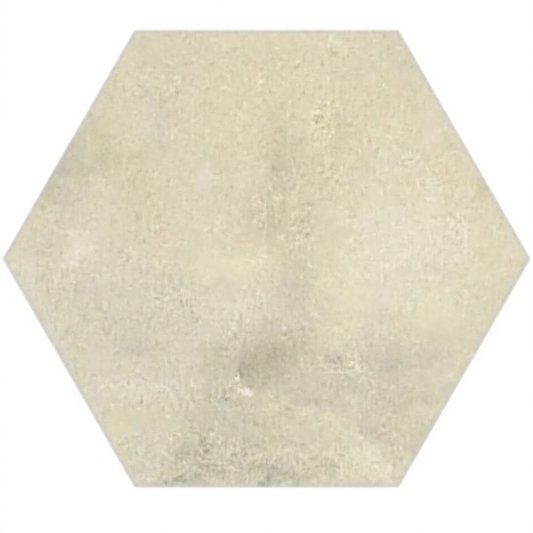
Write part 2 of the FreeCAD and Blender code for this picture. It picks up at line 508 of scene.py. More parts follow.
def add_unit_cell(maker, size, hexagon_point, pitch):
    """One cell with half of each rib round it: the rib, the leaning wall and the floor."""
    lean = maker.math("TANGENT", size["Cell Lean"])
    mouth = size["Cell Across Flats"] / 2
    inset = size["Cell Depth"] * lean
    strip = maker.read(
        "GeometryNodeMeshGrid", float(CELL_LOOP_POINTS), 2.0, CELL_LOOP_POINTS + 1, 3
    )
    x, y, _ = maker.parts(maker.read("GeometryNodeInputPosition"))
    number = maker.math("ROUND", x + CELL_LOOP_POINTS / 2)
    row = maker.math("ROUND", y + 1.0)
    in_cell = maker.math("GREATER_THAN", row, 0.5)
    on_floor = maker.math("GREATER_THAN", row, 1.5)
    apothem = maker.pick(in_cell, pitch / 2, mouth - on_floor * inset)
    radius = in_cell * (size["Cell Corner Radius"] - on_floor * inset)
    rim = loop_place(maker, hexagon_point, number, apothem, radius, on_floor * size["Cell Depth"])
    strip = maker.read("GeometryNodeSetPosition", strip, None, rim)

    floor = maker.read("GeometryNodeMeshCircle", CELL_LOOP_POINTS, 1.0, fill_type="NGON")
    index = maker.read("GeometryNodeInputIndex")
    edge = loop_place(
        maker, hexagon_point, index, mouth - inset, size["Cell Corner Radius"] - inset, size["Cell Depth"]
    )
    floor = maker.read("GeometryNodeSetPosition", floor, None, edge)
    return merge(maker, join(maker, strip, floor))


def loop_place(maker, hexagon_point, number, apothem, radius, height):
    """Where a numbered point of a cell's loop lies: the middle of a corner first, then on round it.

    Of a side's five steps, 0 to 2 go round the corner behind its straight part, and 3 and 4 round the corner
    ahead of it. The cells are turned by half a side against the tile.
    """
    side = maker.math("FLOOR", number / CELL_SIDE_POINTS)
    step = number - side * CELL_SIDE_POINTS
    past_middle = maker.math("GREATER_THAN", step, CELL_SIDE_POINTS / 2)
    straight = past_middle * 2 - 1
    quarter = HALF_TURN / 2
    bend = maker.pick(past_middle, step * quarter - HALF_TURN, (step - 3) * quarter)
    point = maker.group(hexagon_point, apothem, radius, straight, bend, side - 0.5)
    return maker.vector("ADD", point, maker.combine(0.0, 0.0, height))


def join(maker, *meshes):
    node = maker.node("GeometryNodeJoinGeometry")
    for mesh in meshes:
        maker.tree.links.new(mesh.socket, node.inputs[0])
    return Reading(maker, node.outputs[0])


def merge(maker, mesh):
    return maker.read("GeometryNodeMergeByDistance", mesh, None, MERGE_DISTANCE)


def add_honeycomb(maker, size, hexagon_point):
    """The keying cells of the back, on a lattice of rows that run along X and 60 degrees from it."""
    rings, pitch = cell_rings(maker, size)
    cell = add_unit_cell(maker, size, hexagon_point, pitch)
    spots = maker.read("GeometryNodeMeshGrid", rings * 2, rings * 2, rings * 2 + 1, rings * 2 + 1)
    x, y, _ = maker.parts(maker.read("GeometryNodeInputPosition"))
    ring = maker.math("ABSOLUTE", x + y)
    inside = maker.math("LESS_THAN", ring, rings + 0.5)
    place = maker.combine((x + y * math.cos(SIDE_TURN)) * pitch, y * math.sin(SIDE_TURN) * pitch)
    outside = 1 - inside
    spots = maker.read("GeometryNodeDeleteGeometry", spots, outside, domain="POINT", mode="ALL")
    spots = maker.read("GeometryNodeSetPosition", spots, None, place)
    cells = maker.read("GeometryNodeInstanceOnPoints", spots, None, cell)
    return merge(maker, maker.read("GeometryNodeRealizeInstances", cells))


def outline(maker, mesh):
    """The open edges of a mesh, as closed curves."""
    faces_at_edge = maker.read("GeometryNodeInputMeshEdgeNeighbors", output="Face Count")
    is_open = maker.math("LESS_THAN", faces_at_edge, 1.5)
    return maker.read("GeometryNodeMeshToCurve", mesh, is_open)


def add_back(maker, size, sheet, hexagon_point):
    """The honeycomb and the plain border between it and the sheet, facing down."""
    honeycomb = add_honeycomb(maker, size, hexagon_point)
    loops = join(maker, outline(maker, sheet), outline(maker, honeycomb))
    border = maker.read("GeometryNodeFillCurve", loops, mode="TRIANGLES")
    back = maker.read("GeometryNodeFlipFaces", join(maker, honeycomb, border))
    x, y, _ = maker.parts(maker.read("GeometryNodeInputPosition"))
    from_below = maker.scaled(maker.combine(0.0 - x, y), size["Back Scale"])
    return store_map(maker, back, maker.vector("ADD", from_below, size["Back Centre"]))


def shade(maker, mesh):
    """Smooth shading with the edges of the ribs and of the chamfer left sharp."""
    angle_at_edge = maker.read("GeometryNodeInputMeshEdgeAngle", output="Unsigned Angle")
    is_sharp = maker.math("GREATER_THAN", angle_at_edge, SHARP_EDGE_ANGLE)
    mesh = maker.read("GeometryNodeSetShadeSmooth", mesh, None, True, domain="FACE")
    return maker.read("GeometryNodeSetShadeSmooth", mesh, is_sharp, False, domain="EDGE")


def tile_shape_tree(values):
    """The tile's whole shape, closed, with these values as its named inputs."""
    hexagon_point = hexagon_point_group()
    ring_point = ring_point_group(hexagon_point)
    maker, size, out = new_group("hexagon_tile_shape", "Tile", "NodeSocketGeometry", values)
    sheet = merge(maker, add_sheet(maker, size, ring_point))
    back = add_back(maker, size, sheet, hexagon_point)
    tile = shade(maker, merge(maker, join(maker, sheet, back)))
    tile = maker.read("GeometryNodeRemoveAttribute", tile, "third")
    tile = maker.read("GeometryNodeRealizeInstances", tile)
    tile = maker.read("GeometryNodeSetMaterial", tile, None, size["Material"])
    maker.feed(out.inputs[0], tile)
    return maker.tree


def map_scales(sizes):
    """How much the unfolded sheet and the back shrink to fit their widths on the bake map."""
    lean = sizes.undercut_angle
    drop = sizes.back_arris * math.cos(lean)
    inset = sizes.back_arris * (1 + math.sin(lean))
    upright_wall = sizes.thickness - sizes.face_arris - sizes.undercut_height
    walls = upright_wall + (sizes.undercut_height - drop) / math.cos(lean)
    unfolded = sizes.across_flats / 2 + sizes.face_arris * (math.pi / 2 - 1) + walls + math.hypot(drop, inset)
    sheet_width = 2 * unfolded * CORNER_STRETCH
    back_width = sizes.across_flats * CORNER_STRETCH
    return SHEET_ON_MAP[1] / sheet_width, BACK_ON_MAP[1] / back_width


def shape_values(sizes, material):
    """What each named input of the tile's shape is set to. A size's input has the size's own name."""
    values = {name.replace("_", " ").title(): getattr(sizes, name) for name in TileSizes.__annotations__}
    sheet_scale, back_scale = map_scales(sizes)
    values["Sheet Scale"] = sheet_scale
    values["Sheet Centre"] = (*SHEET_ON_MAP[0], 0.0)
    values["Back Scale"] = back_scale
    values["Back Centre"] = (*BACK_ON_MAP[0], 0.0)
    values["Material"] = material
    return values


def plain_object(name, tree, values):
    """The shape that a geometry tree makes from these values, as an object with a plain mesh."""
    host = bpy.data.objects.new(f"{name}_maker", bpy.data.meshes.new(f"{name}_maker"))
    bpy.context.scene.collection.objects.link(host)
    modifier = host.modifiers.new("Shape", "NODES")
    modifier.node_group = tree
    for socket in tree.interface.items_tree:
        if socket.in_out == "INPUT":
            modifier[socket.identifier] = values[socket.name]
    depsgraph = bpy.context.evaluated_depsgraph_get()
    mesh = bpy.data.meshes.new_from_object(
        host.evaluated_get(depsgraph), preserve_all_data_layers=True, depsgraph=depsgraph
    )
    host.modifiers.remove(modifier)
    bpy.data.meshes.remove(host.data)
    if not mesh.polygons:
        raise RuntimeError(f"{name} came out with no faces")
    for index in reversed(range(len(mesh.materials))):
        if mesh.materials[index] is None:
            mesh.materials.pop(index=index)
    mesh.name = name
    made = bpy.data.objects.new(name, mesh)
    bpy.context.scene.collection.objects.link(made)
    return made


# A soft cloud of one tint: its middle and half size in millimetres on the face, its turn in degrees, and how
# far the face goes towards the tint in its middle
Cloud = namedtuple("Cloud", "what x y half_x half_y turn tint strength")

# A cloud's soft edge ends at this many half sizes, and its height is large enough to take in the whole tile
CLOUD_REACH = 1.5
ALL_HEIGHTS = 1e6

# The shares of the way in from its soft end at which a cloud begins and is full: clouds fade all the way, and
# flecks end firmly
CLOUD_EDGE = (0.0, 1.0)
FLECK_EDGE = (0.1, 0.7)

# What the grain adds to the linear red, green and blue, so that it is lighter or darker but keeps the hue
GRAIN_STEP = (0.61, 0.61, 0.595)

# The grain's parts: the size of each part's features in millimetres, and how much it adds
SPECK_MM, SPECKS = 3.0, 0.26
STROKE_MM, STROKES = 2.5, 0.31
DOT_SPACING_MM, DOT_RADIUS_MM, DOTS = 2.8, 1.2, 0.05
STROKE_SQUEEZE = 0.30
ROUGH_PART_STRENGTH = 1.3
LEAST_ROUGHNESS = 0.05

# How much the soft mottling changes the colour, and how much it changes the shade
COLOUR_MOTTLE = 0.06
SHADE_MOTTLE = 0.18

# The face's border, in millimetres in from the side: where the cooler band begins and is full, where the thin
# line of painted shade starts and stops, and where the painted highlight on the rim begins and is full. The
# shares are their strengths.
RIM_WAVER = 1.2
BAND_FADE, BAND_SHARE = (5.5, 1.0), 0.30
PAINTED_SHADE_START, PAINTED_SHADE_STOP, PAINTED_SHADE_SHARE = (0.9, 1.6), (3.0, 2.0), 0.11
PAINTED_HIGHLIGHT_RAMP, PAINTED_HIGHLIGHT_STRENGTH = (1.3, 0.2), 0.55

# Heights in millimetres above the back: the ribs, which take the kiln wash, and the ragged end of the glaze
RIB_FADE = (0.25, 0.05)
GLAZE_RAGGEDNESS = 1.4
GLAZE_FADE = (8.6, 9.0)

# The bare body: how strong its soft clouds, its sand and its dark specks are, and how far apart its specks
BODY_CLOUDS = 0.16
BODY_SAND = 0.22
BODY_SPECKS = 0.5
BODY_SPECK_SPACING_MM = 2.2

# How the surface takes the light: the roughness of the body, how far the face's own roughness swings, and how
# much a soft swell adds to the sand in the bump
BODY_ROUGHNESS = 0.93
GLOSS_SWING = 0.3
SWELL_BUMP = 1.5
SPECULAR_LEVEL = 0.3

CLOUDS = [
    Cloud("warm upper half", 10, 95, 175, 95, 0, "tan", 0.11),
    Cloud("light right half", 102, 18, 70, 60, 0, "cream", 0.10),
    Cloud("cool lower left", -62, -42, 105, 42, -10, "cool", 0.09),
    Cloud("dim lower left", -70, -75, 85, 40, -10, "slate", 0.035),

    Cloud("green of the top left corner", -72, 136, 16, 6, 0, "teal", 0.12),
    Cloud("olive, top left", -76, 126, 10, 7, 0, "olive", 0.06),
    Cloud("mauve near the top", -50, 124, 30, 13, 0, "mauve", 0.07),
    Cloud("light tan patch", -16, 86, 22, 20, 0, "tan", 0.10),
    Cloud("grey spot, upper left", -35, 88, 6, 7, 0, "slate", 0.05),
    Cloud("lavender, upper left", -78, 98, 13, 10, 0, "mauve", 0.07),
    Cloud("blue by the upper left edge", -101, 103, 8, 10, 60, "slate", 0.09),
    Cloud("mauve, upper left", -62, 93, 12, 12, 0, "mauve", 0.11),
    Cloud("mauve, lower upper left", -68, 73, 9, 16, 0, "mauve", 0.12),
    Cloud("frost, upper left", -72, 84, 12, 12, 0, "frost", 0.08),
    Cloud("frost, left of the band", -38, 50, 8, 11, 0, "frost", 0.16),
    Cloud("grey, left of the band", -32, 36, 7, 8, 0, "slate", 0.07),
    Cloud("olive of the left edge", -102, 78, 14, 12, 40, "olive", 0.18),
    Cloud("brown of the left edge", -101, 61, 12, 8, 0, "brown", 0.17),
    Cloud("brown streak, left", -83, 64, 12, 6, 0, "brown", 0.10),
    Cloud("navy of the left edge", -127, 58, 22, 9, 60, "slate", 0.27),
    Cloud("ink of the left edge", -116, 52, 9, 8, 0, "ink", 0.13),
    Cloud("slate, inner side of the left edge", -107, 53, 10, 8, 0, "slate", 0.08),
    Cloud("green of the left edge", -136, 40, 10, 6, 60, "olive", 0.14),
    Cloud("slate above the left corner", -124, 37, 16, 10, 20, "slate", 0.12),
    Cloud("slate of the upper left edge", -110, 84, 14, 6, 60, "slate", 0.07),
    Cloud("green, left of the middle", -56, 60, 10, 10, 0, "teal", 0.06),
    Cloud("olive, left of the band", -31, 62, 10, 9, 0, "olive", 0.05),
    Cloud("olive grey, left", -81, 46, 18, 14, 0, "olive", 0.12),
    Cloud("olive, left", -84, 24, 14, 14, 0, "olive", 0.09),

    Cloud("brown streak at the top", 1, 128, 5, 16, 0, "brown", 0.09),
    Cloud("warm spot by the streak", -10, 114, 9, 8, 0, "rose", 0.08),
    Cloud("brown band, upper part", 8, 82, 13, 20, 0, "brown", 0.11),
    Cloud("brown band, spot", 19, 72, 5, 6, 0, "ink", 0.05),
    Cloud("brown band, darkest", 7, 58, 10, 15, 0, "brown", 0.16),
    Cloud("mauve in the band", 9, 54, 9, 12, 0, "mauve", 0.08),
    Cloud("brown band, lower part", 2, 32, 16, 17, 0, "brown", 0.11),
    Cloud("brown band, foot", 3, 17, 10, 8, 0, "brown", 0.07),
    Cloud("brown band, left side", -15, 22, 11, 13, 0, "mauve", 0.09),
    Cloud("pink, left of the foot", -6, 12, 9, 8, 0, "rose", 0.07),
    Cloud("warm side of the band", -14, 48, 14, 16, 0, "blush", 0.06),
    Cloud("brown band, right side", 30, 52, 14, 16, 0, "brown", 0.09),
    Cloud("brown beside the band", 38, 54, 7, 7, 0, "brown", 0.06),
    Cloud("brown band, low right", 24, 24, 10, 12, 0, "brown", 0.13),
    Cloud("olive right of the band", 47, 78, 10, 12, 0, "olive", 0.18),
    Cloud("green spot in the band", 30, 80, 8, 9, 0, "moss", 0.12),
    Cloud("light spot by the band", 20, 92, 8, 7, 0, "cream", 0.10),
    Cloud("green spot, top", 27, 112, 9, 8, 0, "moss", 0.08),
    Cloud("green of the top edge", 10, 137, 26, 6, 0, "straw", 0.10),
    Cloud("straw of the top edge, left part", -28, 135, 11, 7, 0, "straw", 0.11),
    Cloud("olive foot of the band", 10, 4, 9, 8, 0, "olive", 0.16),
    Cloud("grey column, upper part", 14, -7, 8, 12, 0, "slate", 0.07),
    Cloud("grey column, right side", 23, -6, 6, 14, 0, "ink", 0.05),
    Cloud("purple grey, middle", 14, -22, 12, 12, 0, "mauve", 0.14),
    Cloud("mauve above the stain", 20, -42, 11, 9, 0, "mauve", 0.13),
    Cloud("green edge of the column", 27, -28, 5, 8, 0, "straw", 0.10),

    Cloud("pale green, middle left", -20, -4, 32, 13, 0, "moss", 0.26),
    Cloud("pale green, above it", -33, 22, 20, 14, 0, "moss", 0.16),
    Cloud("pink brown spot", -60, 12, 9, 8, 0, "rose", 0.10),
    Cloud("yellow spot, left", -66, -1, 8, 6, 0, "straw", 0.14),
    Cloud("lavender, middle", -20, -29, 25, 11, 0, "lavender", 0.20),
    Cloud("olive speck in the lavender", -27, -38, 5, 5, 0, "olive", 0.09),
    Cloud("blue green, middle left", -60, -17, 15, 11, 0, "teal", 0.10),
    Cloud("blue, left", -98, -20, 20, 10, 0, "slate", 0.04),
    Cloud("frost, left", -103, -13, 9, 9, 0, "frost", 0.08),
    Cloud("mauve, middle low left", -53, -38, 11, 10, 0, "mauve", 0.05),

    Cloud("lavender of the left", -112, 10, 32, 30, 0, "lavender", 0.12),
    Cloud("bright spot of the left", -117, 5, 9, 9, 0, "lavender", 0.24),
    Cloud("purple, left", -119, 26, 14, 9, 0, "mauve", 0.12),
    Cloud("purple below it", -98, 4, 12, 16, 0, "mauve", 0.08),
    Cloud("grey purple, left", -138, 6, 14, 16, 0, "mauve", 0.11),
    Cloud("purple, lower part", -116, -16, 14, 10, 0, "mauve", 0.10),
    Cloud("frost of the left corner", -151, -3, 14, 10, 0, "frost", 0.10),
    Cloud("frost below the left corner", -148, -18, 10, 7, -60, "frost", 0.12),
    Cloud("olive of the lower left edge", -124, -47, 18, 6, -60, "olive", 0.08),
    Cloud("frost of the lower left edge", -130, -48, 30, 5, -60, "frost", 0.12),
    Cloud("blue grey, left", -90, -42, 24, 14, 0, "slate", 0.06),
    Cloud("dark blue spot, left", -82, -58, 14, 6, 0, "slate", 0.11),
    Cloud("frost below the dark blue spot", -78, -66, 10, 6, 0, "frost", 0.07),
    Cloud("frost, lower left", -104, -62, 12, 14, 0, "frost", 0.09),
    Cloud("frost of the lower left edge, foot", -104, -88, 12, 9, -60, "frost", 0.12),
    Cloud("frost, middle low left", -42, -44, 22, 14, 0, "frost", 0.03),
    Cloud("light blue wash", -76, -80, 40, 10, 0, "frost", 0.08),
    Cloud("lavender, lower left", -82, -80, 28, 9, 0, "lavender", 0.12),

    Cloud("pinkish, lower left", -80, -91, 12, 7, 0, "blush", 0.08),
    Cloud("straw of the lower left edge", -91, -106, 9, 9, 0, "straw", 0.16),
    Cloud("grey green, lower left", -80, -116, 13, 10, 0, "teal", 0.16),
    Cloud("frost, low left", -78, -113, 10, 9, 0, "frost", 0.08),
    Cloud("blue, low left", -57, -124, 12, 9, 0, "slate", 0.11),
    Cloud("slate of the bottom left corner", -76, -132, 9, 9, 0, "slate", 0.09),
    Cloud("frost of the bottom left corner", -76, -134, 10, 8, 0, "frost", 0.13),
    Cloud("slate, low", -30, -104, 22, 22, 0, "slate", 0.13),
    Cloud("slate, left side of it", -43, -100, 8, 9, 0, "slate", 0.06),
    Cloud("slate below the stain", -22, -92, 14, 9, 0, "slate", 0.05),
    Cloud("slate, right of it", -11, -111, 10, 16, 0, "slate", 0.09),
    Cloud("navy, low", -43, -121, 12, 10, 0, "ink", 0.165),
    Cloud("navy, lower", -34, -132, 13, 7, 0, "ink", 0.12),
    Cloud("blue, low", -17, -128, 8, 7, 0, "slate", 0.15),
    Cloud("navy of the bottom left", -52, -138, 18, 6, 0, "slate", 0.17),
    Cloud("ink of the bottom left", -52, -139, 14, 5, 0, "ink", 0.09),
    Cloud("navy beside it", -30, -138, 16, 8, 0, "slate", 0.11),
    Cloud("navy of the bottom edge", 4, -134, 20, 9, 0, "slate", 0.20),
    Cloud("mauve above it", 10, -127, 11, 6, 0, "mauve", 0.12),
    Cloud("ink of the bottom edge", -2, -138, 8, 7, 0, "ink", 0.14),
    Cloud("ink of the bottom edge, right", 18, -138, 11, 6, 0, "ink", 0.12),
    Cloud("brown, low", -4, -119, 12, 8, 0, "umber", 0.07),

    Cloud("dark stain, shade round it", 4, -66, 32, 22, 0, "umber", 0.08),
    Cloud("dark stain, left end", -30, -62, 10, 10, 0, "olive", 0.28),
    Cloud("grey below the left end", -27, -75, 10, 9, 0, "slate", 0.09),
    Cloud("dark streak, left of the stain", -34, -82, 9, 4, 0, "ink", 0.08),
    Cloud("dark spot above the left end", -23, -46, 4, 6, 0, "ink", 0.08),
    Cloud("grey, left of the stain", -27, -57, 8, 7, 0, "slate", 0.09),
    Cloud("light patch under the stain", -27, -88, 6, 6, 0, "mist", 0.17),
    Cloud("dark stain, darkest", -12, -69, 8, 11, 0, "ink", 0.22),
    Cloud("dark stain, foot of the darkest part", -14, -78, 6, 5, 0, "ink", 0.08),
    Cloud("purple of the stain", -14, -65, 7, 6, 0, "mauve", 0.08),
    Cloud("olive of the stain", -3, -67, 10, 9, 0, "olive", 0.14),
    Cloud("dark stain, olive side", 5, -61, 14, 13, 0, "umber", 0.175),
    Cloud("dark stain, brown top", 3, -57, 9, 7, 0, "brown", 0.10),
    Cloud("dark stain, lower side", 8, -77, 16, 8, 0, "slate", 0.07),
    Cloud("dark stain, foot", 0, -77, 6, 7, 0, "umber", 0.11),
    Cloud("mauve below the right part", 26, -80, 9, 7, 0, "mauve", 0.08),
    Cloud("dark stain, upper part", 0, -42, 10, 8, 0, "ink", 0.09),
    Cloud("dark stain, right part", 24, -56, 12, 11, 0, "olive", 0.20),
    Cloud("light, right of the stain", 31, -69, 7, 6, 0, "blush", 0.07),
    Cloud("shade under the stain", 14, -90, 22, 10, 0, "ink", 0.04),

    Cloud("slate spot, lower right", 45, -76, 14, 9, 0, "slate", 0.13),
    Cloud("purple spot, lower right", 41, -60, 7, 6, 0, "mauve", 0.22),
    Cloud("blue, lower right", 62, -84, 16, 12, 0, "slate", 0.09),
    Cloud("shade, lower right", 78, -86, 18, 12, 0, "mauve", 0.06),
    Cloud("mauve above it", 58, -65, 12, 7, 0, "mauve", 0.04),
    Cloud("slate, lower right", 76, -67, 11, 13, 0, "slate", 0.16),
    Cloud("mauve of the lower right edge", 94, -64, 22, 12, 0, "mauve", 0.14),
    Cloud("dark grey, low right", 84, -95, 10, 12, 0, "ink", 0.08),
    Cloud("slate, low right", 104, -84, 12, 7, 20, "slate", 0.12),
    Cloud("slate of the lower right edge", 95, -113, 10, 8, 60, "slate", 0.16),
    Cloud("blue, low right", 78, -117, 7, 9, 0, "mauve", 0.10),
    Cloud("frost of the lower right edge", 110, -74, 11, 6, 60, "frost", 0.12),
    Cloud("purple, low", 64, -106, 13, 10, 0, "mauve", 0.18),
    Cloud("brown spot, low", 62, -108, 6, 5, 0, "brown", 0.08),
    Cloud("grey above the pale arc", 40, -92, 12, 6, 0, "mauve", 0.16),
    Cloud("dark above the pale arc", 24, -88, 12, 5, 0, "ink", 0.08),
    Cloud("olive, low", 5, -98, 12, 10, 0, "olive", 0.14),
    Cloud("straw, low", 6, -92, 8, 4, 0, "straw", 0.10),
    Cloud("olive, lower", 3, -112, 12, 9, 0, "olive", 0.125),
    Cloud("mauve, low", 21, -112, 12, 9, 0, "mauve", 0.11),
    Cloud("mauve above the bottom edge", 42, -119, 7, 6, 0, "mauve", 0.10),
    Cloud("olive of the bottom edge", 33, -131, 14, 7, 0, "olive", 0.20),
    Cloud("pale arc, first", 20, -93, 15, 3.5, -14, "moss", 0.13),
    Cloud("pale arc, second", 44, -103, 14, 3.5, -38, "moss", 0.20),
    Cloud("pale arc, third", 64, -120, 18, 4, -45, "mist", 0.20),
    Cloud("pale cream, low", 59, -127, 18, 9, -20, "moss", 0.24),
    Cloud("pale streak of the bottom edge", 74, -134, 4, 7, 20, "lavender", 0.16),

    Cloud("lavender of the right", 87, 6, 35, 26, 0, "lavender", 0.24),
    Cloud("dim of the lavender", 97, -3, 11, 11, 0, "mauve", 0.06),
    Cloud("lavender peak", 101, 36, 8, 12, 0, "lavender", 0.20),
    Cloud("mist above the lavender", 76, 27, 14, 9, 0, "mist", 0.12),
    Cloud("mist, left of the lavender", 60, 5, 7, 8, 0, "mist", 0.08),
    Cloud("frost, left of the tail", 71, -26, 8, 9, 0, "frost", 0.08),
    Cloud("lavender, lower left part", 72, -12, 12, 14, 0, "lavender", 0.10),
    Cloud("lavender tail", 84, -25, 14, 12, 0, "frost", 0.09),
    Cloud("pink, left of the lavender", 60, 23, 8, 9, 0, "blush", 0.16),
    Cloud("pink, right of the lavender", 120, 14, 10, 12, 0, "blush", 0.12),
    Cloud("tan of the right corner", 140, 6, 16, 17, 0, "tan", 0.15),
    Cloud("pink of the right corner", 156, 4, 8, 8, 0, "blush", 0.20),
    Cloud("rose of the right corner", 151, -6, 8, 8, 0, "rose", 0.10),
    Cloud("green of the right edge", 130, -13, 12, 10, 0, "moss", 0.12),
    Cloud("rose of the right edge", 138, -19, 10, 10, 60, "rose", 0.05),
    Cloud("green, lower right", 107, -31, 30, 16, 0, "moss", 0.18),
    Cloud("straw, lower right", 104, -36, 22, 12, 0, "straw", 0.06),
    Cloud("olive, lower right", 108, -42, 24, 12, 0, "olive", 0.035),
    Cloud("olive of the right edge", 134, 44, 5, 11, -30, "olive", 0.28),
    Cloud("pink by the right edge", 126, 33, 8, 9, 0, "blush", 0.12),
    Cloud("warm cream, middle right", 38, -8, 9, 24, 0, "tan", 0.12),
    Cloud("pink in the cream", 38, -22, 7, 14, 0, "blush", 0.08),
    Cloud("green cream, middle right", 54, -16, 13, 26, 0, "moss", 0.24),
    Cloud("green cream, lower part", 45, -46, 12, 12, 0, "straw", 0.15),
    Cloud("frost, right of the stain", 66, -42, 10, 9, 0, "frost", 0.12),
    Cloud("mauve, right of the stain", 68, -54, 10, 8, 0, "mauve", 0.10),

    Cloud("tan of the upper right", 62, 98, 42, 16, 0, "tan", 0.06),
    Cloud("light of the top edge", 46, 132, 12, 9, 0, "cream", 0.12),
    Cloud("grey, top right", 62, 112, 18, 10, 0, "mauve", 0.04),
    Cloud("green of the top right corner", 78, 136, 12, 5, 0, "teal", 0.16),
    Cloud("blue, upper right", 104, 76, 7, 9, 0, "frost", 0.10),
    Cloud("green, right part", 92, 64, 9, 8, 0, "mist", 0.09),
    Cloud("light above the lavender", 71, 38, 10, 8, 0, "cream", 0.10),
    Cloud("tan of the right", 112, 58, 40, 36, 0, "tan", 0.08),
    Cloud("grey by the right edge", 90, 118, 8, 14, 30, "slate", 0.07),
    Cloud("brown by the right edge", 92, 102, 6, 8, 0, "brown", 0.08),
    Cloud("mist by the right edge", 103, 94, 8, 12, 30, "mist", 0.10),
    Cloud("straw, upper right", 74, 80, 12, 8, 0, "straw", 0.12),
    Cloud("pale green, right", 78, 58, 11, 12, 0, "mist", 0.12),
    Cloud("olive, right", 60, 60, 8, 6, 0, "olive", 0.07),
    Cloud("pink tan, right", 62, 48, 10, 8, 0, "blush", 0.10),
    Cloud("rose, upper right", 57, 66, 12, 13, 0, "rose", 0.06),
    Cloud("olive of the upper right edge", 116, 72, 10, 5, -60, "olive", 0.07),
    Cloud("frost of the upper right edge", 118, 79, 22, 4, -60, "frost", 0.06),
    Cloud("straw, right of the band", 52, 34, 12, 12, 0, "straw", 0.10),
]

# Small chalky flecks and pits, which keep firmer edges than the clouds
FLECKS = [
    Cloud("dark rim of the tall fleck", -16.6, -71.8, 2.2, 3.4, 20, "ink", 0.30),
    Cloud("tall fleck by the stain, tip", -17.6, -72.6, 0.9, 2.0, 0, "chalk", 0.45),
    Cloud("tall fleck by the stain, foot", -18.1, -74.8, 1.4, 1.8, 0, "chalk", 0.50),
    Cloud("link between the tall and the long fleck", -16.2, -79.0, 1.9, 0.9, -25, "chalk", 0.35),
    Cloud("long fleck by the stain, left", -16.9, -81.7, 2.0, 1.6, -20, "chalk", 0.45),
    Cloud("long fleck by the stain, middle", -13.2, -82.9, 3.4, 2.4, -12, "chalk", 0.55),
    Cloud("long fleck by the stain, right", -10.1, -84.0, 2.1, 1.9, 0, "chalk", 0.45),
    Cloud("dark spot above the long fleck", -10.2, -79.6, 2.2, 1.4, 0, "ink", 0.22),
    Cloud("fleck above the stain", -19.7, -58.5, 1.8, 1.8, 0, "blush", 0.28),
    Cloud("straw fleck under the stain", 6.4, -93.0, 2.0, 1.7, 0, "chalk", 0.30),
    Cloud("fleck, lower right", 57, -69, 1.6, 2.4, 35, "chalk", 0.35),
    Cloud("fleck of the bottom edge", 76, -131, 2.6, 1.2, 60, "chalk", 0.45),
    Cloud("pale grain, low", -29.3, -114.6, 1.3, 1.3, 0, "chalk", 0.40),
    Cloud("pit under the long fleck", -24.6, -87.5, 1.2, 1.3, 0, "ink", 0.42),
    Cloud("pit in the stain", 5.0, -58.3, 1.6, 1.3, 0, "ink", 0.20),
    Cloud("pit, lower left", -78, -89, 1.1, 1.4, 0, "ink", 0.32),
    Cloud("pit, upper middle", 25, 15, 1.3, 1.1, 0, "ink", 0.25),
    Cloud("bottom pit, first", -62.8, -139.0, 1.7, 1.3, 0, "ink", 0.30),
    Cloud("bottom pit, second", -57.0, -137.3, 2.2, 1.7, 0, "ink", 0.36),
    Cloud("bottom pit, third", -51.0, -138.4, 1.5, 1.2, 0, "ink", 0.25),
    Cloud("bottom pit, fourth", -43.2, -134.8, 1.9, 1.5, 0, "ink", 0.32),
    Cloud("bottom pit, fifth", -3.1, -140.0, 2.2, 1.4, 0, "ink", 0.36),
    Cloud("bottom streak", 0.0, -126.0, 0.9, 3.2, 8, "ink", 0.25),
]

